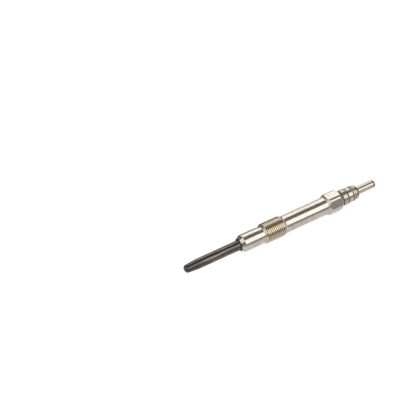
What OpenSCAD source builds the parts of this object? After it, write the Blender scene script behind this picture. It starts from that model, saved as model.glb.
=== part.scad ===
// Diesel glow plug with a sheathed heater, lying on one flat of its hexagon.
// Its axis runs along X, with the heater tip at -X and the terminal pin at +X.
// Lengths are in millimetres, and positions along the axis count from the tip.

/* [Heater] */
// Outside diameter of the glow tube
tube_d = 5; // [4.6:0.1:5.4]
// Length of glow tube that stands out of the housing
tube_reach = 30.6; // [24:0.1:36]
// Length of glow tube held inside the housing
tube_grip = 14; // [10:0.5:18]
// Wall of the glow tube
tube_wall = 0.65; // [0.5:0.05:0.75]
// Diameter of the glow tube at its swaged tip
tip_d = 3.9; // [3.7:0.1:4.4]
// Length of the swaged taper, its rounded end included
tip_taper = 7; // [6:0.5:10]
// Radius of the rounded edge of the tip
tip_round = 1.3; // [0.8:0.1:1.6]
// Thickness of the tube's welded end
tip_wall = 1; // [0.8:0.1:1.4]

/* [Coils] */
// Diameter of the resistance wire
wire_d = 0.4; // [0.3:0.05:0.5]
// Insulating powder between the coils and the narrow end of the tube
powder_wall = 0.3; // [0.2:0.05:0.4]
// Straight leg of wire from the welded end to the heating coil
leg_len = 0.8; // [0.5:0.1:1.5]
// Turns of the heating coil
heating_turns = 9; // [6:1:12]
// Rise of the heating coil in one turn
heating_pitch = 0.8; // [0.6:0.05:1]
// Turns of the control coil
control_turns = 20; // [14:1:26]
// Rise of the control coil in one turn
control_pitch = 0.65; // [0.55:0.05:0.8]
// Length of the rod's spigot inside the control coil
spigot_len = 1.5; // [1:0.1:3]

/* [Housing] */
// Included angle of the conical seat
seat_angle = 63; // [58:1:93]
// Flat ring between the tube and the conical seat
seat_land = 0.45; // [0.15:0.05:0.5]
// Diameter of the smooth shank ahead of the thread
shank_d = 8.6; // [8:0.1:8.8]
// Length of the smooth shank
shank_len = 9; // [6:0.1:14]
// Diameter of the relief behind the shank
relief_d = 8.2; // [7.6:0.1:8.6]
// Length of the relief
relief_len = 2.1; // [1:0.1:3]
// Outside diameter of the thread
thread_d = 10; // [10:1:12]
// Length of the thread with its lead-in and run-out
thread_len = 12.8; // [10:0.1:20]
// Length of the lead-in cone of the thread
lead_in = 1.1; // [0.8:0.1:2.5]
// Length of the run-out cone of the thread
run_out = 1.9; // [0.8:0.1:2.5]
// Diameter of the plain barrel behind the thread
barrel_d = 8.7; // [8:0.1:9]
// Length of the plain barrel
barrel_len = 24.5; // [10:0.1:60]
// Width of the hexagon across its flats
hex_af = 10; // [9:1:12]
// Length of the hexagon
hex_len = 8.7; // [7:0.1:14]
// Depth turned off the hexagon's corners
hex_corner_cut = 0.35; // [0:0.05:0.6]
// Flat margin of the hexagon's back face inside its flats
hex_margin = 0.65; // [0.05:0.05:0.8]
// Angle of the bevel on the hexagon's corners, from its end faces
hex_bevel = 50; // [15:1:60]
// Diameter of the neck behind the hexagon
neck_d = 8; // [7.4:0.1:8.6]
// Length of the neck, its undercut included
neck_len = 3.6; // [3:0.1:6]
// Diameter of the undercut between the hexagon and the neck
undercut_d = 6.8; // [6.4:0.1:7.6]
// Length of the undercut
undercut_len = 1; // [0.5:0.1:1.5]
// Bevel of the neck's rim
neck_bevel = 0.2; // [0.1:0.05:0.4]

/* [Rod and seals] */
// Diameter of the centre rod in the housing
rod_d = 3.2; // [3:0.1:3.6]
// Air space between the centre rod and the housing
rod_air = 0.8; // [0.4:0.1:0.9]
// Length of rubber seal in the open end of the glow tube
seal_len = 3; // [2:0.5:5]
// Wall of that rubber seal
seal_wall = 0.55; // [0.4:0.05:0.6]
// Thickness of the sealing ring's cord
ring_cord = 1.25; // [1:0.05:1.5]
// Length of the insulating bush inside the neck
bush_len = 2.4; // [1.5:0.1:4]
// Diameter of the insulating bush's flange
flange_d = 7.8; // [7:0.1:8.4]
// Thickness of the insulating bush's flange
flange_t = 0.6; // [0.4:0.1:1.5]

/* [Terminal] */
// Diameter of the terminal's base ring
collar_d = 7.5; // [7:0.1:8.4]
// Length of the terminal's base ring
collar_len = 2.4; // [1:0.1:3]
// Diameter of the raised bead
bead_d = 7.7; // [7:0.1:8.4]
// Length of the raised bead
bead_len = 0.6; // [0.6:0.1:1.6]
// Diameter of the end ring
end_ring_d = 7.1; // [6.4:0.1:8]
// Length of the end ring with its rounded shoulder
end_ring_len = 2.3; // [1.8:0.1:3]
// Radius of the rounded shoulder
shoulder_round = 1.5; // [0.6:0.1:1.6]
// Width of each crimp groove
groove_w = 0.6; // [0.3:0.05:0.8]
// Depth of each crimp groove under the end ring
groove_depth = 0.35; // [0.1:0.05:0.4]
// Diameter of the terminal pin
pin_d = 4; // [3.5:0.1:4.5]
// Length of the terminal pin
pin_len = 10.7; // [8:0.1:14]
// Radius of the rounded end of the pin
pin_round = 0.9; // [0.3:0.1:1.5]
// Diameter of the rod's stud inside the terminal
stud_d = 2.8; // [2.2:0.1:3]
// Length of the rod's stud inside the terminal
stud_len = 4.4; // [3:0.1:5]

/* [Hidden] */

$fn = 96;
// Sides of the wire, and steps in each turn of a coil
WIRE_SIDES = 8;
TURN_STEPS = 16;
// Steps in a quarter-round edge
ARC_STEPS = 8;
// Overrun that takes a cut past the face it opens
OVERRUN = 1;

// Clearance between pieces that fit in or against each other
fit_gap = 0.02;
// Clearance between the coils and what lies beside them
coil_gap = 0.05;

tube_r = tube_d / 2;
tube_bore_r = tube_r - tube_wall;
tip_bore_r = tip_d / 2 - tube_wall;
tube_end = tube_reach + tube_grip;
seal_start = tube_end - seal_len;

coil_out_r = tip_bore_r - powder_wall;
coil_r = coil_out_r - wire_d / 2;
coil_in_r = coil_r - wire_d / 2;
leg_end = tip_wall + leg_len;
heating_start = leg_end + heating_pitch;
weld_at = heating_start + heating_turns * heating_pitch;
control_end = weld_at + control_turns * control_pitch;
rod_shoulder = control_end + wire_d / 2 + coil_gap;
spigot_start = rod_shoulder - spigot_len;
rod_front_r = tube_bore_r - seal_wall;

seat_tip_r = tube_r + seat_land;
shank_start = tube_reach + (shank_d / 2 - seat_tip_r) / tan(seat_angle / 2);
relief_start = shank_start + shank_len;
thread_start = relief_start + relief_len;
barrel_start = thread_start + thread_len;
hex_start = barrel_start + barrel_len;
hex_corner_r = hex_af / 2 / cos(30);
hex_out_r = hex_corner_r - hex_corner_cut;
hex_face_r = hex_af / 2 - hex_margin;
hex_middle = hex_start + hex_len / 2;
neck_start = hex_start + hex_len;
flange_start = neck_start + neck_len;
rod_bore_r = rod_d / 2 + rod_air;
ring_bore_r = rod_d / 2 + ring_cord;
ring_bore_start = flange_start - bush_len - ring_cord;

collar_start = flange_start + flange_t;
bead_start = collar_start + collar_len + groove_w;
end_ring_start = bead_start + bead_len + groove_w;
groove_r = end_ring_d / 2 - groove_depth;
pin_start = end_ring_start + end_ring_len;
plug_len = pin_start + pin_len;

axis_height = max(hex_af, thread_d) / 2;

function unit(v) = v / norm(v);
function radial(angle) = [cos(angle), sin(angle), 0];

// Quarter round from the side at angle 0 to the end at angle 90, as [radius, position] points
function quarter_round(centre_r, centre_at, r, way) = [
    for (i = [0 : ARC_STEPS])
        let (a = 90 * i / ARC_STEPS) [centre_r + r * cos(a), centre_at + way * r * sin(a)]
];

function reversed(list) = [for (i = [len(list) - 1 : -1 : 0]) list[i]];

// Lays a piece that was made along Z in its place on the ground
module lie() {
    translate([-plug_len / 2, 0, axis_height])
        rotate([0, 90, 0])
            children();
}

// Solid of revolution from the [radius, position] points of its half section
module turned(section) {
    rotate_extrude()
        polygon(section);
}

// Ring between two radii and two positions
module ring(inner_r, outer_r, start, end) {
    turned([[inner_r, start], [outer_r, start], [outer_r, end], [inner_r, end]]);
}

// Round wire along a path of [angle, radius, position] stations round the axis
// The first and the last station only give the way in which the wire ends there
module wire(path) {
    last = len(path) - 3;
    places = [for (p = path) p[1] * radial(p[0]) + [0, 0, p[2]]];
    rings = [
        for (i = [1 : last + 1])
            let (
                along = unit(places[i + 1] - places[i - 1]),
                side = unit(cross(along, radial(path[i][0]))),
                out = cross(side, along)
            )
            for (k = [0 : WIRE_SIDES - 1])
                let (a = 360 * k / WIRE_SIDES)
                places[i] + wire_d / 2 * (cos(a) * out + sin(a) * side)
    ];
    walls = [
        for (i = [0 : last - 1], k = [0 : WIRE_SIDES - 1])
            let (
                here = i * WIRE_SIDES,
                next = here + WIRE_SIDES,
                j = (k + 1) % WIRE_SIDES
            )
            each [[here + k, here + j, next + k], [here + j, next + j, next + k]]
    ];
    front = [for (k = [WIRE_SIDES - 1 : -1 : 0]) k];
    back = [for (k = [0 : WIRE_SIDES - 1]) last * WIRE_SIDES + k];
    polyhedron(rings, concat([front], walls, [back]));
}

// Stations of a coil from one step to another, turned on from its start by an angle
function helix(first, last, pitch, start, turned_on = 0) = [
    for (i = [first : last])
        let (a = 360 * i / TURN_STEPS + turned_on)
        [a, coil_r, start + pitch * a / 360]
];

// Turned steel body: seat, shank, thread, barrel, hexagon and neck
module housing() {
    color("#CFC8BA")
    lie()
    difference() {
        union() {
            turned([
                [0, tube_reach],
                [seat_tip_r, tube_reach],
                [shank_d / 2, shank_start],
                [shank_d / 2, relief_start],
                [relief_d / 2, relief_start + (shank_d - relief_d) / 2],
                [relief_d / 2, thread_start],
                [thread_d / 2, thread_start + lead_in],
                [thread_d / 2, barrel_start - run_out],
                [barrel_d / 2, barrel_start],
                [barrel_d / 2, hex_middle],
                [undercut_d / 2, hex_middle],
                [undercut_d / 2, neck_start + undercut_len],
                [neck_d / 2, neck_start + undercut_len],
                [neck_d / 2, flange_start - neck_bevel],
                [neck_d / 2 - neck_bevel, flange_start],
                [0, flange_start],
            ]);
            intersection() {
                translate([0, 0, hex_start])
                    rotate(30)
                        cylinder(h = hex_len, r = hex_corner_r, $fn = 6);
                turned([
                    [0, hex_start],
                    [barrel_d / 2, hex_start],
                    [hex_out_r, hex_start + (hex_out_r - barrel_d / 2) * tan(hex_bevel)],
                    [hex_out_r, neck_start - (hex_out_r - hex_face_r) * tan(hex_bevel)],
                    [hex_face_r, neck_start],
                    [0, neck_start],
                ]);
            }
        }
        turned([
            [0, tube_reach - OVERRUN],
            [tube_r + fit_gap, tube_reach - OVERRUN],
            [tube_r + fit_gap, tube_end],
            [rod_bore_r, tube_end],
            [rod_bore_r, ring_bore_start],
            [ring_bore_r, ring_bore_start],
            [ring_bore_r, flange_start + OVERRUN],
            [0, flange_start + OVERRUN],
        ]);
    }
}

// Closed alloy sheath, swaged to a narrower tip
module glow_tube() {
    color("#3A3634")
    lie()
    turned(concat(
        [[0, 0]],
        reversed(quarter_round(tip_d / 2 - tip_round, tip_round, tip_round, -1)),
        [
            [tube_r, tip_taper],
            [tube_r, tube_end],
            [tube_bore_r, tube_end],
            [tube_bore_r, tip_taper],
            [tip_bore_r, tip_wall],
            [0, tip_wall],
        ]
    ));
}

// Front coil, from its leg at the welded end, out to its full width and on
module heating_coil() {
    leg = [for (i = [-1 : 2]) [0, 0, tip_wall + fit_gap + (leg_len - fit_gap) * i / 2]];
    spiral = [
        for (i = [1 : TURN_STEPS])
            let (share = i / TURN_STEPS)
            [360 * share, coil_r * (1 - cos(180 * share)) / 2, leg_end + heating_pitch * share]
    ];
    color("#8C8378")
    lie()
    wire(concat(leg, spiral, helix(1, heating_turns * TURN_STEPS + 1, heating_pitch, heating_start)));
}

// Rear coil, from the weld with the heating coil to the centre rod
module control_coil() {
    weld_angle = fit_gap / coil_r * 180 / PI;
    color("#A89F92")
    lie()
    wire(helix(-1, control_turns * TURN_STEPS + 1, control_pitch, weld_at, weld_angle));
}

// Pressed powder: a sleeve outside the coils and a core inside them
module insulating_powder() {
    out_r = coil_out_r + coil_gap;
    leg_hole_r = wire_d / 2 + coil_gap;
    bore_start = leg_end - wire_d / 2;
    color("#E6E1D6")
    lie() {
        turned([
            [leg_hole_r, tip_wall + fit_gap],
            [tip_bore_r - fit_gap, tip_wall + fit_gap],
            [tube_bore_r - fit_gap, tip_taper],
            [tube_bore_r - fit_gap, seal_start - fit_gap],
            [rod_front_r + fit_gap, seal_start - fit_gap],
            [rod_front_r + fit_gap, rod_shoulder],
            [out_r, rod_shoulder],
            [out_r, bore_start],
            [leg_hole_r, bore_start],
        ]);
        translate([0, 0, heating_start + wire_d / 2 + coil_gap])
            cylinder(
                h = spigot_start - heating_start - wire_d / 2 - coil_gap - fit_gap,
                r = coil_in_r - coil_gap
            );
    }
}

// Rubber bush that closes the open end of the glow tube round the rod
module tube_seal() {
    color("#9A4A34")
    lie()
    ring(rod_front_r + fit_gap, tube_bore_r - fit_gap, seal_start, tube_end);
}

// Steel rod that carries the current from the terminal to the coils
module centre_rod() {
    color("#B4B0A8")
    lie()
    turned([
        [0, spigot_start],
        [coil_in_r - coil_gap, spigot_start],
        [coil_in_r - coil_gap, rod_shoulder],
        [rod_front_r, rod_shoulder],
        [rod_front_r, tube_end + rod_air],
        [rod_d / 2, tube_end + rod_air],
        [rod_d / 2, collar_start - fit_gap],
        [stud_d / 2, collar_start - fit_gap],
        [stud_d / 2, collar_start + stud_len],
        [0, collar_start + stud_len],
    ]);
}

// Rubber ring that seals the rod in the neck
module sealing_ring() {
    color("#26282B")
    lie()
    translate([0, 0, ring_bore_start + ring_cord / 2])
        rotate_extrude()
            translate([(rod_d + ring_cord) / 2, 0])
                circle(d = ring_cord - 2 * fit_gap);
}

// Plastic bush that holds the terminal apart from the neck
module insulating_bush() {
    color("#2B2724")
    lie()
    turned([
        [rod_d / 2 + fit_gap, flange_start - bush_len],
        [ring_bore_r - fit_gap, flange_start - bush_len],
        [ring_bore_r - fit_gap, flange_start],
        [flange_d / 2, flange_start],
        [flange_d / 2, collar_start],
        [rod_d / 2 + fit_gap, collar_start],
    ]);
}

// Turned terminal, crimped on the rod's stud by two rolled grooves
module terminal_pin() {
    color("#D8CFB4")
    lie()
    turned(concat(
        [
            [stud_d / 2 + fit_gap, collar_start],
            [collar_d / 2, collar_start],
            [collar_d / 2, collar_start + collar_len],
            [groove_r, collar_start + collar_len],
            [groove_r, bead_start],
            [bead_d / 2, bead_start],
            [bead_d / 2, bead_start + bead_len],
            [groove_r, bead_start + bead_len],
            [groove_r, end_ring_start],
            [end_ring_d / 2, end_ring_start],
        ],
        quarter_round(end_ring_d / 2 - shoulder_round, pin_start - shoulder_round, shoulder_round, 1),
        [[pin_d / 2, pin_start]],
        quarter_round(pin_d / 2 - pin_round, plug_len - pin_round, pin_round, 1),
        [
            [0, plug_len],
            [0, collar_start + stud_len + fit_gap],
            [stud_d / 2 + fit_gap, collar_start + stud_len + fit_gap],
        ]
    ));
}

housing();
glow_tube();
heating_coil();
control_coil();
insulating_powder();
tube_seal();
centre_rod();
sealing_ring();
insulating_bush();
terminal_pin();
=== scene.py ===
"""Dresses the frame of a sheathed diesel glow plug that lies on one flat of its hexagon."""

import math

import bmesh
import bpy
from bpy.props import FloatProperty, FloatVectorProperty, IntProperty, PointerProperty
from mathutils import Matrix, Vector


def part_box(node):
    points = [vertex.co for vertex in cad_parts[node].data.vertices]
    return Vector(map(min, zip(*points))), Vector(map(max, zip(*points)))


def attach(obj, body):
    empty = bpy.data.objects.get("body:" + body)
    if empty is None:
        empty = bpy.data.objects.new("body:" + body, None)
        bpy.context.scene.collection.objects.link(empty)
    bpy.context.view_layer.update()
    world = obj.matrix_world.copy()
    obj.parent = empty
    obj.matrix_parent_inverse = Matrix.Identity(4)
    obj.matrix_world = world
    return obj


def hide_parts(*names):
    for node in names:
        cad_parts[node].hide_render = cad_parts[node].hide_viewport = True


bl_info = {
    "name": "Diesel Glow Plug",
    "version": (1, 0, 0),
    "blender": (4, 5, 0),
    "location": "3D View > Sidebar > Glow Plug",
    "description": "Makes the pieces and finishes of a sheathed diesel glow plug around its frame",
    "category": "Add Mesh",
}

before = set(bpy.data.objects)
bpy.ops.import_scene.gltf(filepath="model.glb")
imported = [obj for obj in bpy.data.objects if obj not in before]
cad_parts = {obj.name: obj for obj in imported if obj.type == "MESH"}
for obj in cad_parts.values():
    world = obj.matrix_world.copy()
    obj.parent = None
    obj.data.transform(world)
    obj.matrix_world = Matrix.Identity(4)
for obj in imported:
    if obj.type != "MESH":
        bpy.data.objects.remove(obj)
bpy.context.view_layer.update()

MM = 0.001

# Places of the plug in its frame: the axis runs along X, from the heater tip to the terminal pin
TIP, TUBE_END = (corner.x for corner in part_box("glow_tube"))
HOUSING_FRONT, HOUSING_BACK = (corner.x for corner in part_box("housing"))
BUSH_FRONT, BUSH_BACK = (corner.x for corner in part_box("insulating_bush"))
PIN_FRONT, PIN_END = (corner.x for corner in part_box("terminal_pin"))
AXIS_HEIGHT = sum(corner.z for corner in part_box("glow_tube")) / 2
TUBE_RADIUS = (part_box("glow_tube")[1].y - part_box("glow_tube")[0].y) / 2

# Columns of a turned mesh, and how far the housing's are drawn together at the hexagon's corners
COLUMNS = 96
HOUSING_COLUMNS = 144
BUNCHING = 0.7
HEX_SIDES = 6
# Fewest steps in a rounded corner and longest step, and how far a ring beyond it holds the sides straight
ROUND_STEPS = 4
LONGEST_STEP = 0.12 * MM
HOLD_SHARE = 0.25
HOLD_MOST = 0.04 * MM
# Rows in one turn of the thread, so that its crest, flanks and root start on a row
THREAD_ROWS = 16
# Half the width of the thread's blunt crest and of its whole ridge, as shares of the pitch
CREST_HALF = 3 / 16
RIDGE_HALF = 7 / 16
# Steps in one turn of a coil, and round its wire
COIL_STEPS = 32
WIRE_SIDES = 12
WELD = 1e-6
SHARP = math.radians(38)

# Parts of the clouds' noise over which a finish changes its colour and its gloss
COLOUR_SPAN = (0.35, 0.65)
GLOSS_SPAN = (0.3, 0.7)
# Depth of a lathe's feed marks in millimetres, and how strongly they show
MARK_DEPTH = 0.004
MARK_STRENGTH = 0.35
# Where the heat stain and painted contact shade behind the housing's front edge start to fade, and where
# they end
STAIN_AND_SHADE_FADE = (0.15 * MM, 0.55 * MM)
# Share of the oil's colour on the neck, the painted shade that the undercut adds to it, and how far that
# shade laps over
THIN_FILM = 0.35
UNDERCUT_SHADE = 0.25
UNDERCUT_LAP = 0.03 * MM
# Roughness in the thread's roots and under thick oil
MATT = 0.5
# Length of the darker skin at the heater's tip, and its share of the colour at the very end
BURNT_LENGTH = 12 * MM
BURNT_SHARE = 0.8
# Middles of the terminal's brown rings, painted dark reflections, ahead of the shoulder's foot and of the
# pin's end
SHOULDER_RING = 0.8 * MM
PIN_RING = 0.5 * MM
# Distances from its middle at which a painted ring starts to fade and ends, and its share of the colour
RING_FADE = (0.55 * MM, 0.85 * MM)
RING_SHARE = 0.9


def linear(code):
    """Linear red, green, blue and alpha of an sRGB hex colour"""
    parts = [int(code[i:i + 2], 16) / 255 for i in (1, 3, 5)]
    return [c / 12.92 if c <= 0.04045 else ((c + 0.055) / 1.055) ** 2.4 for c in parts] + [1.0]


def length(name, description, mm):
    """A length that a user may change, given in millimetres"""
    return FloatProperty(
        name=name, description=description, default=mm * MM, min=0.0, precision=5, unit="LENGTH")


def angle(name, description, degrees):
    """An angle that a user may change, given in degrees"""
    return FloatProperty(
        name=name, description=description, default=math.radians(degrees), subtype="ANGLE")


def colour(name, description, code):
    """A colour that a user may change, given as sRGB hex"""
    return FloatVectorProperty(
        name=name, description=description, default=linear(code), size=4, min=0.0, max=1.0,
        subtype="COLOR")


def brightness(name, description, share):
    """A brightness that a user may change, on a scale where 1 is white"""
    return FloatProperty(name=name, description=description, default=share, min=0.0)


def turns(name, description, number):
    """A number of full turns that a user may change"""
    return IntProperty(name=name, description=description, default=number, min=1)


class HeaterSizes(bpy.types.PropertyGroup):
    """Sizes of the glow tube and of the coils inside it"""

    tip_diameter: length("Tip diameter", "Diameter of the tube at its swaged tip", 3.9)
    tip_taper: length("Tip taper", "Length of the swaged taper with its round end", 7)
    tip_round: length("Tip round", "Radius of the rounded edge of the tip", 1.3)
    tip_wall: length("Tip wall", "Thickness of the tube's welded end", 1)
    wall: length("Wall", "Wall of the tube", 0.65)
    wire: length("Wire", "Diameter of the resistance wire", 0.4)
    coil_radius: length("Coil radius", "Radius at the middle of the coils' wire", 0.8)
    weld_gap: length("Weld gap", "Clearance at the ends of the wires", 0.02)
    leg: length("Leg", "Straight wire between the welded end and the heating coil", 0.8)
    heating_pitch: length("Heating pitch", "Rise of the heating coil in one turn", 0.8)
    heating_turns: turns("Heating turns", "Full turns of the heating coil", 9)
    control_pitch: length("Control pitch", "Rise of the control coil in one turn", 0.65)
    control_turns: turns("Control turns", "Full turns of the control coil", 20)


class HousingSizes(bpy.types.PropertyGroup):
    """Sizes of the turned steel housing"""

    seat_land: length("Seat land", "Flat ring between the tube and the conical seat", 0.45)
    seat_angle: angle("Seat angle", "Included angle of the conical seat", 63)
    shank: length("Shank", "Diameter of the smooth shank", 8.6)
    relief: length("Relief", "Diameter of the relief ahead of the thread", 8.2)
    relief_length: length("Relief length", "Length of the relief", 2.1)
    thread: length("Thread", "Outside diameter of the thread", 10)
    thread_length: length("Thread length", "Length of the thread with both its ends", 12.8)
    thread_pitch: length("Thread pitch", "Rise of the thread in one turn", 1)
    thread_depth: length("Thread depth", "Depth of the thread from crest to root", 0.45)
    lead_in: length("Lead-in", "Length of the cone at the front of the thread", 1.1)
    run_out: length("Run-out", "Length of the cone at the back of the thread", 1.9)
    barrel: length("Barrel", "Diameter of the plain barrel", 8.7)
    barrel_length: length("Barrel length", "Length of the plain barrel", 24.5)
    hexagon: length("Hexagon", "Width across the flats", 10)
    hexagon_length: length("Hexagon length", "Length of the hexagon", 8.7)
    hexagon_margin: length("Hexagon margin", "Flat of its back face inside the flats", 0.65)
    hexagon_bevel: angle("Hexagon bevel", "Bevel of its corners from the end faces", 50)
    hexagon_corners: length("Hexagon corners", "Diameter that its corners are turned to", 10.84)
    neck: length("Neck", "Diameter of the neck", 8)
    neck_length: length("Neck length", "Length of the neck with its undercut", 3.6)
    neck_bevel: length("Neck bevel", "Bevel of the neck's rim", 0.2)
    undercut: length("Undercut", "Diameter of the undercut behind the hexagon", 6.8)
    undercut_length: length("Undercut length", "Length of the undercut", 1)
    tube_bore: length("Tube bore", "Diameter of the bore that holds the glow tube", 5.04)
    rod_bore: length("Rod bore", "Diameter of the bore round the centre rod", 4.8)
    ring_bore: length("Ring bore", "Diameter of the bore for the sealing ring and bush", 5.7)
    ring_bore_length: length("Ring bore length", "Depth of that bore from the neck's rim", 3.65)
    seat_lip: length("Seat lip", "Rounding of the conical seat's front edge", 0.25)
    break_edge: length("Broken edge", "Rounding of the turned edges", 0.12)


class TerminalSizes(bpy.types.PropertyGroup):
    """Sizes of the insulating bush and of the terminal"""

    bush: length("Bush", "Diameter of the bush inside the neck", 5.66)
    bush_bore: length("Bush bore", "Diameter of the bush's bore", 3.24)
    bush_length: length("Bush length", "Length of the bush inside the neck", 2.4)
    flange: length("Flange", "Diameter of the bush's flange", 7.8)
    flange_edge: length("Flange edge", "Rounding of the flange's rim", 0.12)
    collar: length("Collar", "Diameter of the base ring", 7.5)
    collar_length: length("Collar length", "Length of the base ring", 2.4)
    groove: length("Groove", "Diameter at the bottom of the crimp grooves", 6.4)
    groove_width: length("Groove width", "Width of each crimp groove", 0.6)
    bead: length("Bead", "Diameter of the raised bead", 7.7)
    bead_length: length("Bead length", "Length of the raised bead", 0.6)
    end_ring: length("End ring", "Diameter of the end ring", 7.1)
    end_ring_length: length("End ring length", "Length of the end ring with its shoulder", 2.3)
    shoulder: length("Shoulder", "Radius of the end ring's round shoulder", 1.5)
    pin: length("Pin", "Diameter of the terminal pin", 4)
    pin_round: length("Pin round", "Radius of the pin's round end", 0.9)
    stud_bore: length("Stud bore", "Diameter of the bore for the rod's stud", 2.84)
    stud_depth: length("Stud depth", "Depth of that bore", 4.42)
    break_edge: length("Broken edge", "Rounding of the turned edges", 0.14)
    root_edge: length("Root edge", "Rounding in the bottom of the grooves", 0.05)


class Finishes(bpy.types.PropertyGroup):
    """Colours of the plug's materials"""

    nickel: colour("Nickel", "Bright nickel plating", "#C6C0BA")
    nickel_cloud: colour("Nickel cloud", "Duller patches of the plating", "#B8B1A9")
    # The thread's yellow is a painted warm inter-reflection, and its darker roots are painted shade
    thread: colour("Thread", "Plating on the ridges of the thread", "#C8BCA9")
    thread_root: colour("Thread root", "Plating in the roots of the thread", "#A39277")
    # This dark edge is a heat stain and painted contact shade round the glow tube
    seat_stain_and_shade: colour("Seat stain", "Heat stain on the housing's front edge", "#3E3935")
    # A thin oil film on the neck, and painted shade in the undercut
    oil_film_and_shade: colour("Grime", "Old oil in the undercut behind the hexagon", "#706553")
    oxide: colour("Oxide", "Oxide skin of the glow tube", "#726C68")
    oxide_cloud: colour("Oxide cloud", "Deeper patches of the oxide skin", "#4C4743")
    oxide_tip: colour("Oxide tip", "Oxide skin of the tube's tip", "#464340")
    terminal: colour("Terminal", "Plating of the terminal", "#BEB6A9")
    terminal_cloud: colour("Terminal cloud", "Duller patches of the terminal", "#AFA797")
    # These brown rings are painted dark reflections on the shoulder and the pin's end
    painted_dark_reflection: colour("Tarnish", "Brown rings where the terminal's plating is rubbed", "#54483C")
    bush: colour("Bush", "Dark moulded plastic", "#4A3F36")
    bush_fleck: colour("Bush fleck", "Filler that shows in the plastic", "#5C4F44")
    wire: colour("Wire", "Drawn resistance wire", "#9B9186")
    wire_cloud: colour("Wire cloud", "Heat colour on the wire", "#7A6B58")
    powder: colour("Powder", "Pressed magnesia powder", "#EAE5DA")
    powder_grain: colour("Powder grain", "Shade between the grains of powder", "#CFC8B8")
    seal: colour("Seal", "Red silicone rubber", "#9A4A34")
    seal_bloom: colour("Seal bloom", "Pale bloom on the silicone rubber", "#B0654C")
    rod: colour("Rod", "Drawn plain steel", "#B9B5AD")
    rod_cloud: colour("Rod cloud", "Duller patches of the steel", "#99938A")
    ring: colour("Ring", "Black rubber of the sealing ring", "#242629")
    ring_bloom: colour("Ring bloom", "Grey bloom on the black rubber", "#3A3C3F")


class StageSettings(bpy.types.PropertyGroup):
    """Camera, floor and lamps"""

    azimuth: angle("Azimuth", "Turn of the camera round the plug", -33.95)
    elevation: angle("Elevation", "Height of the camera above the floor", 41.2)
    distance: length("Distance", "Distance from the camera to the point it looks at", 1055.9)
    aim_right: FloatProperty(
        name="Aim right", description="Point looked at, to the right of the plug's middle",
        default=-38.96 * MM, unit="LENGTH")
    aim_up: FloatProperty(
        name="Aim up", description="Point looked at, above the plug's middle in the picture",
        default=12.26 * MM, unit="LENGTH")
    lens: FloatProperty(
        name="Lens", description="Focal length on a sensor 36 mm wide", default=198.0, min=1.0,
        unit="CAMERA")
    floor: colour("Floor", "Pale floor", "#B9B9B9")
    card: colour("Card", "Dark card that the plug's front half mirrors", "#8F8982")
    room: colour("Room", "Dim room above the lamps", "#8E8982")
    room_foot: colour("Room foot", "Room at the height of the floor", "#ADA8A0")
    front_level: brightness("Front level", "Brightness of the front lamp", 1.75)
    back_level: brightness("Back level", "Brightness of the back lamp", 1.55)
    low_level: brightness("Low level", "Brightness of the low lamp behind the plug", 0.9)
    tip_level: brightness("Tip level", "Brightness of the lamp above the heater's end", 1.2)
    end_level: brightness("End level", "Brightness of the lamp ahead of the heater", 1.05)
    floor_glow: brightness("Floor glow", "Light that the floor adds where it is seen", 0.7)
    mirror_glow: brightness("Mirror glow", "Light that the floor adds where it is mirrored", 0.5)


def add(tree, kind, inputs=None, **settings):
    """Adds a node with its settings; an input takes a value, a socket or a node's first output"""
    node = tree.nodes.new(kind)
    for name, value in settings.items():
        setattr(node, name, value)
    for key, value in (inputs or {}).items():
        if isinstance(value, bpy.types.Node):
            value = value.outputs[0]
        if isinstance(value, bpy.types.NodeSocket):
            tree.links.new(value, node.inputs[key])
        else:
            node.inputs[key].default_value = value
    return node


def worked_out(tree, known, steps):
    """Adds a node for each step of a formula, whose terms are numbers or names of what is known by then

    A step with five terms carries its first from the range of the next two to that of the last two.
    Returns all that is known in the end.
    """
    for name, operation, *terms in steps:
        inputs = {i: known.get(term, term) for i, term in enumerate(terms)}
        if len(terms) == 5:
            known[name] = add(tree, "ShaderNodeMapRange", inputs, interpolation_type=operation)
        else:
            known[name] = add(tree, "ShaderNodeMath", inputs, operation=operation)
    return known


def per_mm(size):
    """Scale of a pattern whose features are this many millimetres apart"""
    return 1 / (size * MM)


def blank_material(name):
    """Material with nothing in its tree yet, and that tree"""
    material = bpy.data.materials.new(name)
    material.use_nodes = True
    material.node_tree.nodes.clear()
    return material, material.node_tree


def clouded(name, plain, cloud, cloud_mm, roughness, metallic, drawn_out=1.0):
    """Material whose colour and roughness drift between two values over clouds of a given size

    The clouds may be drawn out along the plug.
    Returns the material, its tree, its shader and the Object coordinates that its patterns read.
    """
    material, tree = blank_material(name)
    place = add(tree, "ShaderNodeTexCoord").outputs["Object"]
    spread = add(tree, "ShaderNodeVectorMath", {
        0: place, 1: (1 / drawn_out, 1.0, 1.0)}, operation="MULTIPLY")
    clouds = add(tree, "ShaderNodeTexNoise", {
        "Vector": spread, "Scale": per_mm(cloud_mm), "Detail": 4.0, "Roughness": 0.55})
    share = add(tree, "ShaderNodeMapRange", {
        "Value": clouds, "From Min": COLOUR_SPAN[0], "From Max": COLOUR_SPAN[1]})
    tint = add(tree, "ShaderNodeMix", {
        "Factor": share, "A": plain, "B": cloud}, data_type="RGBA")
    dull = add(tree, "ShaderNodeMapRange", {
        "Value": clouds, "From Min": GLOSS_SPAN[0], "From Max": GLOSS_SPAN[1],
        "To Min": roughness[0], "To Max": roughness[1]})
    shader = add(tree, "ShaderNodeBsdfPrincipled", {
        "Base Color": tint.outputs["Result"], "Roughness": dull, "Metallic": metallic})
    add(tree, "ShaderNodeOutputMaterial", {"Surface": shader})
    return material, tree, shader, place


def layered(tree, shader, layers):
    """Lays colours over a shader's own, each by its share from 0 to 1"""
    for share, paint in layers:
        own = shader.inputs["Base Color"].links[0].from_socket
        mixed = add(tree, "ShaderNodeMix", {"Factor": share, "A": own, "B": paint}, data_type="RGBA")
        tree.links.new(mixed.outputs["Result"], shader.inputs["Base Color"])


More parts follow.
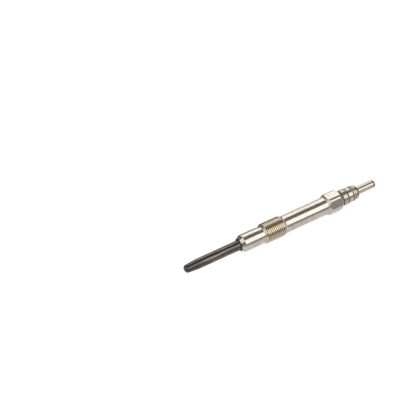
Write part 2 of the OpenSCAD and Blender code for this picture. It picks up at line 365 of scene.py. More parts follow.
def roughened(tree, shader, spot, size_mm, depth_mm, strength, detail, **settings):
    """Lets noise with features of a given size stand in a shader's surface to a given depth"""
    noise = add(tree, "ShaderNodeTexNoise", {
        **spot, "Scale": per_mm(size_mm), "Detail": detail}, **settings)
    bump = add(tree, "ShaderNodeBump", {
        "Height": noise, "Strength": strength, "Distance": depth_mm * MM})
    tree.links.new(bump.outputs["Normal"], shader.inputs["Normal"])


def lathe_marks(tree, shader, along, spacing_mm):
    """Fine rings that the lathe's tool leaves round a turned piece"""
    roughened(tree, shader, {"W": along}, spacing_mm, MARK_DEPTH, MARK_STRENGTH, detail=3.0,
              noise_dimensions="1D")


def nickel_plated_steel(finishes, sizes):
    """Bright nickel over turned bar: warm silver with soft clouds and the lathe's faint rings"""
    material, tree, shader, place = clouded(
        "nickel_plated_steel", finishes.nickel, finishes.nickel_cloud,
        cloud_mm=2.5, roughness=(0.09, 0.15), metallic=1.0)
    along = add(tree, "ShaderNodeSeparateXYZ", {"Vector": place})
    # Feed marks lie about 0.1 mm apart, drawn at 0.5 mm so that they show
    lathe_marks(tree, shader, along, spacing_mm=0.5)
    sunk = add(tree, "ShaderNodeAttribute", attribute_name="thread_root").outputs["Fac"]
    neck, _, barrel, thread = housing_places(sizes)
    half = sizes.undercut_length / 2
    made = worked_out(tree, {"along": along, "sunk": sunk}, (
        # The thread is tinted yellow, a painted warm inter-reflection, and its roots are painted browner
        # as painted shade
        ("front", "LINEAR", "along", thread, thread + 2 * sizes.lead_in, 0.0, 1.0),
        ("back", "LINEAR", "along", barrel - 2 * sizes.run_out, barrel, 1.0, 0.0),
        ("threaded", "MINIMUM", "front", "back"),
        ("deep", "POWER", "sunk", 2.0),
        # The housing's front edge round the glow tube is darkened: partly a heat stain, partly painted
        # contact shade in the crevice where the tube enters
        ("heat", "LINEAR", "along", *(HOUSING_FRONT + fade for fade in STAIN_AND_SHADE_FADE), 1.0, 0.0),
        # A thin brown oil film covers the neck, and the undercut behind the hexagon is painted darker
        # brown as painted shade in the recess
        ("oily", "GREATER_THAN", "along", neck),
        ("thin", "MULTIPLY", "oily", THIN_FILM),
        ("in_undercut", "COMPARE", "along", neck + half, half + UNDERCUT_LAP),
        ("oiled_and_shaded", "MULTIPLY_ADD", "in_undercut", UNDERCUT_SHADE, "thin"),
        # Flanks and roots of the thread stay matt, and so do the undercut and the neck's oil, the oil
        # less so where it is thin
        ("film", "MAXIMUM", "thin", "in_undercut"),
        ("duller", "MAXIMUM", "sunk", "film")))
    layered(tree, shader, (
        (made["threaded"], finishes.thread), (made["deep"], finishes.thread_root),
        (made["heat"], finishes.seat_stain_and_shade), (made["oiled_and_shaded"], finishes.oil_film_and_shade)))
    gloss = shader.inputs["Roughness"].links[0].from_socket
    matt = add(tree, "ShaderNodeMix", {
        "Factor": made["duller"], "A": gloss, "B": MATT}, data_type="FLOAT")
    tree.links.new(matt.outputs["Result"], shader.inputs["Roughness"])
    return material


def oxidised_heater_alloy(finishes):
    """Nickel-chromium sheath after swaging and firing: satin, nearly black, with dim long gleams"""
    material, tree, shader, place = clouded(
        "oxidised_heater_alloy", finishes.oxide, finishes.oxide_cloud,
        cloud_mm=1.5, roughness=(0.1, 0.15), metallic=1.0, drawn_out=4.0)
    # Oxide grain is about 0.02 mm, drawn at 0.25 mm so that it shows
    roughened(
        tree, shader, {"Vector": place}, size_mm=0.25, depth_mm=0.01, strength=0.3, detail=3.0)
    # The tip glows first and longest, so its skin is the darkest
    along = add(tree, "ShaderNodeSeparateXYZ", {"Vector": place})
    burnt = add(tree, "ShaderNodeMapRange", {
        "Value": along, "From Min": TIP, "From Max": TIP + BURNT_LENGTH,
        "To Min": BURNT_SHARE, "To Max": 0.0})
    layered(tree, shader, [(burnt, finishes.oxide_tip)])
    return material


def plated_terminal(finishes, shoulder):
    """Thin plating over turned brass: pale with a yellow cast, and rings from the lathe"""
    material, tree, shader, place = clouded(
        "plated_terminal", finishes.terminal, finishes.terminal_cloud,
        cloud_mm=1.6, roughness=(0.17, 0.25), metallic=1.0)
    along = add(tree, "ShaderNodeSeparateXYZ", {"Vector": place})
    # Feed marks lie about 0.1 mm apart, drawn at 0.4 mm so that they show
    lathe_marks(tree, shader, along, spacing_mm=0.4)
    # A brown ring on the round shoulder and on the pin's round end is a painted dark reflection
    for middle in (shoulder - SHOULDER_RING, PIN_END - PIN_RING):
        made = worked_out(tree, {"along": along}, (
            ("beside", "SUBTRACT", "along", middle),
            ("apart", "ABSOLUTE", "beside"),
            ("ring", "LINEAR", "apart", *RING_FADE, RING_SHARE, 0.0)))
        layered(tree, shader, [(made["ring"], finishes.painted_dark_reflection)])
    return material


def grained(name, plain, cloud, cloud_mm, roughness, grain_mm, depth_mm, metallic=0.0):
    """Clouded material with a grain of a given size and depth standing in its surface"""
    material, tree, shader, place = clouded(name, plain, cloud, cloud_mm, roughness, metallic)
    roughened(tree, shader, {"Vector": place}, grain_mm, depth_mm, strength=0.5, detail=4.0)
    return material


def housing_places(sizes):
    """Places along the axis where the housing's neck, hexagon, barrel and thread start"""
    neck = HOUSING_BACK - sizes.neck_length
    hexagon = neck - sizes.hexagon_length
    barrel = hexagon - sizes.barrel_length
    return neck, hexagon, barrel, barrel - sizes.thread_length


def turn_angles(count, bunching=0.0):
    """Angles round the axis, drawn together at the corners of the hexagon"""
    even = [math.tau * i / count for i in range(count)]
    return [a - bunching / HEX_SIDES * math.sin(HEX_SIDES * a) for a in even]


def eased(section):
    """Half section in which each corner is rounded over the reach that its third number gives"""
    places = []
    for i, (along, radius, reach) in enumerate(section):
        corner = Vector((along, radius))
        if not reach:
            places.append(corner)
            continue
        hold = 1 + min(HOLD_SHARE, HOLD_MOST / reach)
        steps = max(ROUND_STEPS, math.ceil(reach / LONGEST_STEP))
        before = (Vector(section[i - 1][:2]) - corner).normalized() * reach
        after = (Vector(section[i + 1][:2]) - corner).normalized() * reach
        # Weight of the corner at which the curve between both sides is part of a circle
        weight = math.sqrt((1 - before.dot(after) / reach ** 2) / 2)
        places.append(corner + before * hold)
        for step in range(steps + 1):
            t = step / steps
            whole = (1 - t) ** 2 + 2 * weight * t * (1 - t) + t ** 2
            places.append(corner + (before * (1 - t) ** 2 + after * t ** 2) / whole)
        places.append(corner + after * hold)
    return places


def turned(name, columns, angles):
    """Mesh of revolution whose half section may change from one angle to the next"""
    shape = bmesh.new()
    loops = [
        [shape.verts.new((p.x, p.y * math.cos(a), AXIS_HEIGHT + p.y * math.sin(a))) for p in column]
        for column, a in zip(columns, angles)]
    for near, far in zip(loops, loops[1:] + loops[:1]):
        for i in range(len(near) - 1):
            shape.faces.new((near[i], near[i + 1], far[i + 1], far[i]))
    mesh = bpy.data.meshes.new(name)
    shape.to_mesh(mesh)
    shape.free()
    return mesh


def finished(mesh):
    """Welds a mesh, turns its faces outwards and shades it smooth between its sharp edges"""
    shape = bmesh.new()
    shape.from_mesh(mesh)
    bmesh.ops.remove_doubles(shape, verts=shape.verts, dist=WELD)
    bmesh.ops.recalc_face_normals(shape, faces=shape.faces)
    open_edges = sum(not edge.is_manifold for edge in shape.edges)
    for face in shape.faces:
        face.smooth = True
    shape.to_mesh(mesh)
    shape.free()
    if open_edges:
        raise RuntimeError(f"{mesh.name} has {open_edges} edges that don't close")
    mesh.set_sharp_from_angle(angle=SHARP)
    return mesh


def piece(name, mesh, node, material=None):
    """Object at the origin that stands for one node of the frame"""
    obj = bpy.data.objects.new(name, mesh)
    bpy.context.scene.collection.objects.link(obj)
    if material:
        mesh.materials.append(material)
    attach(obj, "root")
    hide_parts(node)
    return obj


def socketed_tree(name, inputs):
    """Geometry Nodes tree with named inputs, and its Group Input node"""
    tree = bpy.data.node_groups.new(name, "GeometryNodeTree")
    for label, kind in inputs.items():
        tree.interface.new_socket(label, in_out="INPUT", socket_type="NodeSocket" + kind)
    tree.interface.new_socket("Geometry", in_out="OUTPUT", socket_type="NodeSocketGeometry")
    return tree, add(tree, "NodeGroupInput").outputs


def grown(mesh, tree, values):
    """Plain mesh that a Geometry Nodes tree makes from a mesh and its named inputs"""
    obj = bpy.data.objects.new(mesh.name, mesh)
    bpy.context.scene.collection.objects.link(obj)
    modifier = obj.modifiers.new(tree.name, "NODES")
    modifier.node_group = tree
    for socket in tree.interface.items_tree:
        if socket.in_out == "INPUT" and socket.name in values:
            modifier[socket.identifier] = values[socket.name]
    graph = bpy.context.evaluated_depsgraph_get()
    result = bpy.data.meshes.new_from_object(obj.evaluated_get(graph), depsgraph=graph)
    obj.modifiers.remove(modifier)
    bpy.data.objects.remove(obj)
    result.name = mesh.name
    return result


def ended(tree, geometry, material):
    """Ends a Geometry Nodes tree in real geometry that wears a material"""
    real = add(tree, "GeometryNodeRealizeInstances", {"Geometry": geometry})
    dressed = add(tree, "GeometryNodeSetMaterial", {"Geometry": real, "Material": material})
    add(tree, "NodeGroupOutput", {"Geometry": dressed})
    return tree


def thread_tree():
    """Rolls a right-hand thread on to the gap that a turned blank leaves for it

    A grid is wound round the axis so that its rows follow the thread. Rows that pass either end
    are drawn on to the end's circle, where the blank's own ring meets them.
    """
    tree, group = socketed_tree("rolled_thread", {
        "Geometry": "Geometry", "Start": "Float", "End": "Float", "Lead In": "Float",
        "Run Out": "Float", "Pitch": "Float", "Turns": "Int", "Outer Radius": "Float",
        "Depth": "Float", "Start Radius": "Float", "End Radius": "Float", "Axis Height": "Float",
        "Columns": "Int", "Bunching": "Float", "Material": "Material"})
    rows = add(tree, "ShaderNodeMath", {
        0: group["Turns"], 1: THREAD_ROWS, 2: 1.0}, operation="MULTIPLY_ADD")
    seam = add(tree, "ShaderNodeMath", {0: group["Columns"], 1: 1.0}, operation="ADD")
    grid = add(tree, "GeometryNodeMeshGrid", {
        "Size X": 1.0, "Size Y": 1.0, "Vertices X": rows, "Vertices Y": seam})
    share = add(tree, "ShaderNodeSeparateXYZ", {"Vector": grid.outputs["UV Map"]})
    made = worked_out(tree, {
        **dict(group.items()), "row": share.outputs["X"], "round": share.outputs["Y"]}, (
        ("even", "MULTIPLY", "round", math.tau),
        ("sixfold", "MULTIPLY", "even", HEX_SIDES),
        ("ripple", "SINE", "sixfold"),
        ("pull", "MULTIPLY", "ripple", "Bunching"),
        ("bunched", "DIVIDE", "pull", HEX_SIDES),
        ("angle", "SUBTRACT", "even", "bunched"),
        ("wound", "DIVIDE", "angle", math.tau),
        ("turn", "MULTIPLY", "row", "Turns"),
        ("advance", "ADD", "turn", "wound"),
        ("ahead", "SUBTRACT", "advance", 1.0),
        ("free", "MULTIPLY_ADD", "ahead", "Pitch", "Start"),
        ("floored", "MAXIMUM", "free", "Start"),
        ("along", "MINIMUM", "floored", "End"),
        ("phase", "FRACT", "turn"),
        ("offset", "SUBTRACT", "phase", 0.5),
        ("from_crest", "ABSOLUTE", "offset"),
        ("root", "SUBTRACT", "Outer Radius", "Depth"),
        ("ridge", "LINEAR", "from_crest", CREST_HALF, RIDGE_HALF, "Outer Radius", "root"),
        ("lead_end", "ADD", "Start", "Lead In"),
        ("lead", "LINEAR", "along", "Start", "lead_end", "Start Radius", "Outer Radius"),
        ("run_start", "SUBTRACT", "End", "Run Out"),
        ("run", "SMOOTHSTEP", "along", "run_start", "End", "Outer Radius", "End Radius"),
        ("ends", "MINIMUM", "lead", "run"),
        ("radius", "MINIMUM", "ridge", "ends"),
        ("cosine", "COSINE", "angle"),
        ("sine", "SINE", "angle"),
        ("across", "MULTIPLY", "radius", "cosine"),
        ("height", "MULTIPLY_ADD", "radius", "sine", "Axis Height"),
        ("below", "SUBTRACT", "ends", "radius"),
        ("sunk", "DIVIDE", "below", "Depth")))
    place = add(tree, "ShaderNodeCombineXYZ", {
        "X": made["along"], "Y": made["across"], "Z": made["height"]})
    marked = add(tree, "GeometryNodeStoreNamedAttribute", {
        "Geometry": grid, "Name": "thread_root", "Value": made["sunk"]},
        data_type="FLOAT", domain="POINT")
    wound = add(tree, "GeometryNodeSetPosition", {"Geometry": marked, "Position": place})
    joined = add(tree, "GeometryNodeJoinGeometry", {"Geometry": group["Geometry"]})
    tree.links.new(wound.outputs["Geometry"], joined.inputs["Geometry"])
    welded = add(tree, "GeometryNodeMergeByDistance", {"Geometry": joined, "Distance": WELD})
    return ended(tree, welded, group["Material"])


def coil_tree():
    """Winds a round wire along a coil that may start as a straight leg and spread in one turn"""
    tree, group = socketed_tree("wound_coil", {
        "Start": "Float", "Pitch": "Float", "Turns": "Float", "Spread From": "Float",
        "Coil Radius": "Float", "Wire Radius": "Float", "Axis Height": "Float",
        "First Angle": "Float", "Material": "Material"})
    steps = add(tree, "ShaderNodeMath", {0: group["Turns"], 1: COIL_STEPS}, operation="MULTIPLY")
    line = add(tree, "GeometryNodeCurvePrimitiveLine")
    path = add(tree, "GeometryNodeResampleCurve", {"Curve": line, "Count": steps})
    share = add(tree, "GeometryNodeSplineParameter").outputs["Factor"]
    made = worked_out(tree, {**dict(group.items()), "share": share}, (
        ("turn", "MULTIPLY", "share", "Turns"),
        ("along", "MULTIPLY_ADD", "turn", "Pitch", "Start"),
        ("wound", "SUBTRACT", "turn", "Spread From"),
        ("angle", "MULTIPLY_ADD", "wound", math.tau, "First Angle"),
        ("not_before", "MAXIMUM", "wound", 0.0),
        ("opening", "MINIMUM", "not_before", 1.0),
        ("half_turn", "MULTIPLY", "opening", math.pi),
        ("swing", "COSINE", "half_turn"),
        ("opened", "MULTIPLY_ADD", "swing", -0.5, 0.5),
        ("reach", "MULTIPLY", "opened", "Coil Radius"),
        ("sine", "SINE", "angle"),
        ("cosine", "COSINE", "angle"),
        ("across", "MULTIPLY", "sine", "reach"),
        ("drop", "MULTIPLY", "cosine", "reach"),
        ("height", "SUBTRACT", "Axis Height", "drop")))
    place = add(tree, "ShaderNodeCombineXYZ", {
        "X": made["along"], "Y": made["across"], "Z": made["height"]})
    coiled = add(tree, "GeometryNodeSetPosition", {"Geometry": path, "Position": place})
    round_wire = add(tree, "GeometryNodeCurvePrimitiveCircle", {
        "Resolution": WIRE_SIDES, "Radius": group["Wire Radius"]})
    swept = add(tree, "GeometryNodeCurveToMesh", {
        "Curve": coiled, "Profile Curve": round_wire, "Fill Caps": True})
    return ended(tree, swept, group["Material"])


class GLOWPLUG_OT_housing(bpy.types.Operator):
    """Turns the housing, with its hexagon and its rolled thread"""

    bl_idname = "glowplug.housing"
    bl_label = "Housing"

    def flat_reach(self, sizes, turn):
        """Distance from the axis to the hexagon's side, with its corners turned down"""
        half = math.pi / HEX_SIDES
        from_flat = turn % (2 * half) - half
        return min(sizes.hexagon / 2 / math.cos(from_flat), sizes.hexagon_corners / 2)

    def section(self, sizes, turn):
        """Half section at one angle, from the back of the thread round to its front"""
        ease = sizes.break_edge
        neck, hexagon, barrel, thread = housing_places(sizes)
        relief = thread - sizes.relief_length
        groove = neck + sizes.undercut_length
        seat_tip = TUBE_RADIUS + sizes.seat_land
        shank = HOUSING_FRONT + (sizes.shank / 2 - seat_tip) / math.tan(sizes.seat_angle / 2)
        side = self.flat_reach(sizes, turn)
        slope = math.tan(sizes.hexagon_bevel)
        face = sizes.hexagon / 2 - sizes.hexagon_margin
        step = (sizes.shank - sizes.relief) / 2
        return eased([
            (barrel, sizes.barrel / 2, 0),
            (barrel + HOLD_MOST, sizes.barrel / 2, 0),
            (hexagon, sizes.barrel / 2, ease),
            (hexagon + (side - sizes.barrel / 2) * slope, side, ease),
            (neck - (side - face) * slope, side, ease),
            (neck, face, 0),
            (neck, sizes.undercut / 2, ease),
            (groove, sizes.undercut / 2, ease),
            (groove, sizes.neck / 2, ease),
            (HOUSING_BACK - sizes.neck_bevel, sizes.neck / 2, ease / 2),
            (HOUSING_BACK, sizes.neck / 2 - sizes.neck_bevel, 0),
            (HOUSING_BACK, sizes.ring_bore / 2, 0),
            (HOUSING_BACK - sizes.ring_bore_length, sizes.ring_bore / 2, 0),
            (HOUSING_BACK - sizes.ring_bore_length, sizes.rod_bore / 2, 0),
            (TUBE_END, sizes.rod_bore / 2, 0),
            (TUBE_END, sizes.tube_bore / 2, 0),
            (HOUSING_FRONT, sizes.tube_bore / 2, 0),
            (HOUSING_FRONT, seat_tip, sizes.seat_lip),
            (shank, sizes.shank / 2, 2 * ease),
            (relief, sizes.shank / 2, step / 4),
            (relief + step, sizes.relief / 2, step / 4),
            (thread - HOLD_MOST, sizes.relief / 2, 0),
            (thread, sizes.relief / 2, 0),
        ])

    def execute(self, context):
        sizes = context.scene.glow_plug_housing
        angles = turn_angles(HOUSING_COLUMNS, BUNCHING)
        columns = [self.section(sizes, turn) for turn in angles]
        blank = turned("housing_body", columns, angles)
        mesh = grown(blank, thread_tree(), {
            "Start": columns[0][-1].x, "End": columns[0][0].x, "Lead In": sizes.lead_in,
            "Run Out": sizes.run_out, "Pitch": sizes.thread_pitch,
            "Turns": math.ceil(sizes.thread_length / sizes.thread_pitch) + 1,
            "Outer Radius": sizes.thread / 2, "Depth": sizes.thread_depth,
            "Start Radius": sizes.relief / 2, "End Radius": sizes.barrel / 2,
            "Axis Height": AXIS_HEIGHT, "Columns": HOUSING_COLUMNS, "Bunching": BUNCHING,
            "Material": nickel_plated_steel(context.scene.glow_plug_finishes, sizes)})
        piece("housing_body", finished(mesh), "housing")
        return {"FINISHED"}


class GLOWPLUG_OT_glow_tube(bpy.types.Operator):
    """Draws the closed glow tube with its swaged tip"""

    bl_idname = "glowplug.glow_tube"
    bl_label = "Glow Tube"

    def execute(self, context):
        sizes = context.scene.glow_plug_heater
        tip = sizes.tip_diameter / 2
        bore = TUBE_RADIUS - sizes.wall
        section = eased([
            (TIP, 0, 0),
            (TIP, tip, sizes.tip_round),
            (TIP + sizes.tip_taper, TUBE_RADIUS, sizes.tip_round),
            (TUBE_END, TUBE_RADIUS, 0),
            (TUBE_END, bore, 0),
            (TIP + sizes.tip_taper, bore, 0),
            (TIP + sizes.tip_wall, tip - sizes.wall, 0),
            (TIP + sizes.tip_wall, 0, 0),
        ])
        mesh = turned("glow_tube_sheath", [section] * COLUMNS, turn_angles(COLUMNS))
        piece("glow_tube_sheath", finished(mesh), "glow_tube",
              oxidised_heater_alloy(context.scene.glow_plug_finishes))
        return {"FINISHED"}


class GLOWPLUG_OT_coils(bpy.types.Operator):
    """Winds the heating coil and the control coil inside the glow tube"""

    bl_idname = "glowplug.coils"
    bl_label = "Coils"

    def execute(self, context):
        sizes = context.scene.glow_plug_heater
        finishes = context.scene.glow_plug_finishes
        # Drawn wire, blued a little by its own heat: matt grey with brown patches
        wire = grained(
            "resistance_wire", finishes.wire, finishes.wire_cloud, cloud_mm=0.8,
            roughness=(0.3, 0.45), grain_mm=0.1, depth_mm=0.005, metallic=1.0)
        tree = coil_tree()
        leg_end = TIP + sizes.tip_wall + sizes.leg
        leg_start = TIP + sizes.tip_wall + sizes.weld_gap
        weld = leg_end + sizes.heating_pitch * (sizes.heating_turns + 1)
        leg_turns = (leg_end - leg_start) / sizes.heating_pitch
        shared = {
            "Coil Radius": sizes.coil_radius, "Wire Radius": sizes.wire / 2,
            "Axis Height": AXIS_HEIGHT, "Material": wire}
        for name, node, own in (
                ("heating_coil_wire", "heating_coil", {
                    "Start": leg_start, "Pitch": sizes.heating_pitch,
                    "Turns": leg_turns + 1 + sizes.heating_turns, "Spread From": leg_turns,
                    "First Angle": 0.0}),
                ("control_coil_wire", "control_coil", {
                    "Start": weld, "Pitch": sizes.control_pitch,
                    "Turns": float(sizes.control_turns), "Spread From": -1.0,
                    "First Angle": sizes.weld_gap / sizes.coil_radius})):
            mesh = grown(bpy.data.meshes.new(name), tree, {**shared, **own})
            piece(name, finished(mesh), node)
        return {"FINISHED"}


class GLOWPLUG_OT_terminal(bpy.types.Operator):
    """Turns the insulating bush and the terminal that is crimped behind it"""

    bl_idname = "glowplug.terminal"
    bl_label = "Bush and Terminal"

    def execute(self, context):
        sizes = context.scene.glow_plug_terminal
        finishes = context.scene.glow_plug_finishes
        angles = turn_angles(COLUMNS)
        bore, body, rim = sizes.bush_bore / 2, sizes.bush / 2, sizes.flange / 2
        seat = BUSH_FRONT + sizes.bush_length
        bush = eased([
            (BUSH_FRONT, bore, 0), (BUSH_FRONT, body, 0), (seat, body, 0),
            (seat, rim, sizes.flange_edge), (BUSH_BACK, rim, sizes.flange_edge),
            (BUSH_BACK, bore, 0), (BUSH_FRONT, bore, 0)])
        # Glass-filled plastic, moulded: dark brown, half matt, with pale flecks of filler
        plastic = grained(
            "dark_plastic", finishes.bush, finishes.bush_fleck, cloud_mm=0.5,
            roughness=(0.42, 0.55), grain_mm=0.2, depth_mm=0.01)
        mesh = turned("insulating_bush_flange", [bush] * COLUMNS, angles)
        piece("insulating_bush_flange", finished(mesh), "insulating_bush", plastic)
        edge, root = sizes.break_edge, sizes.root_edge
        collar_end = PIN_FRONT + sizes.collar_length
        bead = collar_end + sizes.groove_width
        bead_end = bead + sizes.bead_length
        ring = bead_end + sizes.groove_width
        shoulder = ring + sizes.end_ring_length
        groove, pin, stud = sizes.groove / 2, sizes.pin / 2, sizes.stud_bore / 2
        terminal = eased([
            (PIN_FRONT + sizes.stud_depth, 0, 0), (PIN_FRONT + sizes.stud_depth, stud, 0),
            (PIN_FRONT, stud, 0),
            (PIN_FRONT, sizes.collar / 2, edge), (collar_end, sizes.collar / 2, edge),
            (collar_end, groove, root), (bead, groove, root),
            (bead, sizes.bead / 2, edge), (bead_end, sizes.bead / 2, edge),
            (bead_end, groove, root), (ring, groove, root),
            (ring, sizes.end_ring / 2, edge / 3),
            (shoulder, sizes.end_ring / 2, sizes.shoulder),
            (shoulder, pin, 0),
            (PIN_END, pin, sizes.pin_round), (PIN_END, 0, 0)])
        mesh = turned("terminal_pin_turned", [terminal] * COLUMNS, angles)
        piece("terminal_pin_turned", finished(mesh), "terminal_pin",
              plated_terminal(finishes, shoulder))
        return {"FINISHED"}


class GLOWPLUG_OT_inside(bpy.types.Operator):
    """Gives the pieces inside the plug their finishes"""

    bl_idname = "glowplug.inside"
    bl_label = "Inside Pieces"

    def execute(self, context):
        finishes = context.scene.glow_plug_finishes
        for node, material in (
                # Magnesia packed by swaging: chalky white, grainy and quite matt
                ("insulating_powder", grained(
                    "magnesia_powder", finishes.powder, finishes.powder_grain, cloud_mm=0.4,
                    roughness=(0.8, 0.95), grain_mm=0.15, depth_mm=0.03)),
                # Cut silicone tube: brick red, waxy, with a pale bloom
                ("tube_seal", grained(
                    "red_silicone_rubber", finishes.seal, finishes.seal_bloom, cloud_mm=1.2,
                    roughness=(0.5, 0.65), grain_mm=0.3, depth_mm=0.01)),
                # Bright drawn steel: cool grey with soft dull patches
                ("centre_rod", grained(
                    "plain_steel", finishes.rod, finishes.rod_cloud, cloud_mm=2.0,
                    roughness=(0.25, 0.4), grain_mm=0.3, depth_mm=0.004, metallic=1.0)),
                # Moulded rubber: nearly black, with a grey bloom
                ("sealing_ring", grained(
                    "black_rubber", finishes.ring, finishes.ring_bloom, cloud_mm=0.8,
                    roughness=(0.55, 0.7), grain_mm=0.2, depth_mm=0.01))):
            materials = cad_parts[node].data.materials
            materials.clear()
            materials.append(material)
        return {"FINISHED"}


class GLOWPLUG_OT_stage(bpy.types.Operator):
    """Sets the floor, the lamps, the dark card and the camera"""

    bl_idname = "glowplug.stage"
    bl_label = "Stage"

    # Half width of the floor, and distance of the lamps from the axis, in metres
    FLOOR = 4.0
    LAMP_DISTANCE = 0.8
    # Distances from the axis between which the floor's mirrored glow dies away, in metres
    GLOW_FADE = (0.018, 0.034)
    # Spans of the long lamps round the plug's axis, in degrees from the camera's side up and over,
    # and their reach along it, in metres
    LONG_LAMPS = {
        "front": ((17, 67), (-0.3, 1.6)),
        "back": ((114, 150), (-0.08, 1.6)),
        "low": ((150, 176), (0.0, 0.7)),
        "tip": ((52, 118), (-0.8, -0.3))}
    # Sides and height of the lamp ahead of the heater, in metres
    END_SIDES, END_HEIGHT = (-0.6, 0.6), (0.0, 0.75)
    # Sines of the heights between which the room changes from its foot to its dim upper part
    ROOM_FOOT = (0.2, 0.5)
    # Ends, distance and height of the card behind the plug's front half, in metres
    CARD_ENDS, CARD_BEHIND, CARD_HEIGHT = (-0.045, 0.012), 0.025, 0.014

    def lamp(self, name, place, away, along, size, level):
        """Flat lamp of an even brightness with its back turned away from the plug"""
        light = bpy.data.lights.new(name, "AREA")
        light.shape = "RECTANGLE"
        light.size, light.size_y = size
        light.energy = level * math.pi * light.size * light.size_y
        obj = bpy.data.objects.new(name, light)
        turn = Matrix((along, away.cross(along), away)).transposed().to_4x4()
        obj.matrix_world = Matrix.Translation(place) @ turn
        obj.visible_camera = False
        bpy.context.scene.collection.objects.link(obj)

    def long_lamp(self, name, span, reach, level):
        """Lamp beside the plug that fills a span of angles round its axis"""
        low, high = (math.radians(a) for a in span)
        middle = (low + high) / 2
        away = Vector((0, -math.cos(middle), math.sin(middle)))
        along = Vector((1, 0, 0))
        width = 2 * self.LAMP_DISTANCE * math.tan((high - low) / 2)
        self.lamp(name, away * self.LAMP_DISTANCE + along * sum(reach) / 2, away, along,
                  (reach[1] - reach[0], width), level)

    def end_lamp(self, level):
        """Upright lamp ahead of the heater's tip"""
        sides, height = self.END_SIDES, self.END_HEIGHT
        place = Vector((-self.LAMP_DISTANCE, sum(sides) / 2, sum(height) / 2))
        self.lamp("end_lamp", place, Vector((-1, 0, 0)), Vector((0, 1, 0)),
                  (sides[1] - sides[0], height[1] - height[0]), level)

    def room(self, scene, settings):
        """Dim room that grows lighter towards its foot"""
        scene.world = bpy.data.worlds.new("room")
        scene.world.use_nodes = True
        tree = scene.world.node_tree
        tree.nodes.clear()
        way = add(tree, "ShaderNodeTexCoord").outputs["Generated"]
        height = add(tree, "ShaderNodeSeparateXYZ", {"Vector": way})
        share = add(tree, "ShaderNodeMapRange", {
            "Value": height.outputs["Z"], "From Min": self.ROOM_FOOT[0], "From Max": self.ROOM_FOOT[1]})
        shade = add(tree, "ShaderNodeMix", {
            "Factor": share, "A": settings.room_foot, "B": settings.room}, data_type="RGBA")
        walls = add(tree, "ShaderNodeBackground", {"Color": shade.outputs["Result"]})
        add(tree, "ShaderNodeOutputWorld", {"Surface": walls})

    def board(self, name, corners, material):
        """Flat board that belongs to the stage"""
        mesh = bpy.data.meshes.new(name)
        mesh.from_pydata(corners, [], [(0, 1, 2, 3)])
        mesh.materials.append(material)
        obj = bpy.data.objects.new(name, mesh)
        bpy.context.scene.collection.objects.link(obj)
        return obj

    def floor(self, settings):
        """Matt pale floor that shows as white and still takes the plug's shadow"""
        material, tree = blank_material("matt_paper")
        ray = add(tree, "ShaderNodeLightPath").outputs
        place = add(tree, "ShaderNodeTexCoord").outputs["Object"]
        across = add(tree, "ShaderNodeSeparateXYZ", {"Vector": place}).outputs["Y"]
        made = worked_out(tree, {**dict(ray.items()), "across": across}, (
            ("mirrored", "MAXIMUM", "Is Glossy Ray", "Is Transmission Ray"),
            # The paper is brightest beside the plug, and the metal mirrors that
            ("apart", "ABSOLUTE", "across"),
            ("fading", "LINEAR", "apart", *self.GLOW_FADE, settings.mirror_glow, 0.0),
            ("dimmed", "MULTIPLY", "mirrored", "fading"),
            ("glow", "MULTIPLY_ADD", "Is Camera Ray", settings.floor_glow, "dimmed")))
        paper = add(tree, "ShaderNodeBsdfDiffuse", {"Color": settings.floor})
        lit = add(tree, "ShaderNodeEmission", {"Strength": made["glow"]})
        both = add(tree, "ShaderNodeAddShader", {0: paper, 1: lit})
        add(tree, "ShaderNodeOutputMaterial", {"Surface": both})
        half = self.FLOOR
        self.board("floor", [(-half, -half, 0), (half, -half, 0), (half, half, 0), (-half, half, 0)],
                   material)

    def card(self, settings):
        """Dark card that darkens the upper edge of the heater and shank, seen only in their gloss"""
        material, tree = blank_material("dark_card")
        grey = add(tree, "ShaderNodeBsdfDiffuse", {"Color": settings.card})
        add(tree, "ShaderNodeOutputMaterial", {"Surface": grey})
        (left, right), y, top = self.CARD_ENDS, self.CARD_BEHIND, self.CARD_HEIGHT
        obj = self.board("card", [(left, y, 0), (right, y, 0), (right, y, top), (left, y, top)], material)
        obj.visible_camera = obj.visible_diffuse = obj.visible_shadow = False

    def camera(self, settings):
        """Camera at the picture's viewing angle"""
        lens = bpy.data.cameras.new("camera")
        lens.lens = settings.lens
        turn, rise = settings.azimuth, settings.elevation
        back = Vector((
            math.sin(turn) * math.cos(rise), -math.cos(turn) * math.cos(rise), math.sin(rise)))
        right = Vector((math.cos(turn), math.sin(turn), 0))
        up = back.cross(right)
        middle = Vector(((TIP + PIN_END) / 2, 0, AXIS_HEIGHT))
        aim = middle + right * settings.aim_right + up * settings.aim_up
        obj = bpy.data.objects.new("camera", lens)
        obj.matrix_world = Matrix.Translation(
            aim + back * settings.distance) @ Matrix((right, up, back)).transposed().to_4x4()
        bpy.context.scene.collection.objects.link(obj)
        bpy.context.scene.camera = obj

    def execute(self, context):
        settings = context.scene.glow_plug_stage
        scene = context.scene
        scene.view_settings.view_transform = "Standard"
        self.room(scene, settings)
        for name, (span, reach) in self.LONG_LAMPS.items():
            self.long_lamp(name + "_lamp", span, reach, getattr(settings, name + "_level"))
        self.end_lamp(settings.end_level)
        self.floor(settings)
        self.card(settings)
        self.camera(settings)
        return {"FINISHED"}


OPERATORS = (
    GLOWPLUG_OT_housing, GLOWPLUG_OT_glow_tube, GLOWPLUG_OT_coils, GLOWPLUG_OT_terminal,
    GLOWPLUG_OT_inside, GLOWPLUG_OT_stage)
SETTINGS = {
    "glow_plug_heater": HeaterSizes, "glow_plug_housing": HousingSizes,
    "glow_plug_terminal": TerminalSizes, "glow_plug_finishes": Finishes,
    "glow_plug_stage": StageSettings}


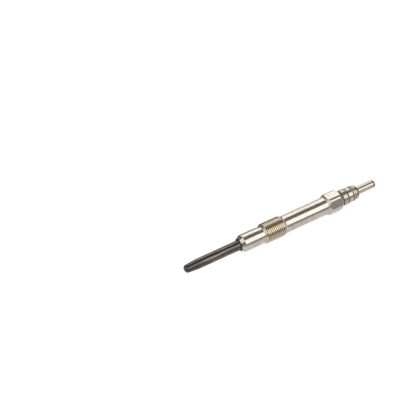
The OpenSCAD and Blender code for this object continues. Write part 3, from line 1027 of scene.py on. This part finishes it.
class GLOWPLUG_PT_panel(bpy.types.Panel):
    """Lists the plug's pieces, with the sizes and colours that they are made from"""

    bl_idname = "GLOWPLUG_PT_panel"
    bl_label = "Glow Plug"
    bl_space_type = "VIEW_3D"
    bl_region_type = "UI"
    bl_category = "Glow Plug"

    def draw(self, context):
        for operator in OPERATORS:
            self.layout.operator(operator.bl_idname)
        for name, group in SETTINGS.items():
            box = self.layout.box()
            box.label(text=group.__doc__)
            for field in group.__annotations__:
                box.prop(getattr(context.scene, name), field)


CLASSES = (*SETTINGS.values(), *OPERATORS, GLOWPLUG_PT_panel)


def register():
    for cls in CLASSES:
        bpy.utils.register_class(cls)
    for name, group in SETTINGS.items():
        setattr(bpy.types.Scene, name, PointerProperty(type=group))


def unregister():
    for name in SETTINGS:
        delattr(bpy.types.Scene, name)
    for cls in reversed(CLASSES):
        bpy.utils.unregister_class(cls)


def main():
    register()
    bpy.ops.glowplug.housing()
    bpy.ops.glowplug.glow_tube()
    bpy.ops.glowplug.coils()
    bpy.ops.glowplug.terminal()
    bpy.ops.glowplug.inside()
    bpy.ops.glowplug.stage()


if __name__ == "__main__":
    main()
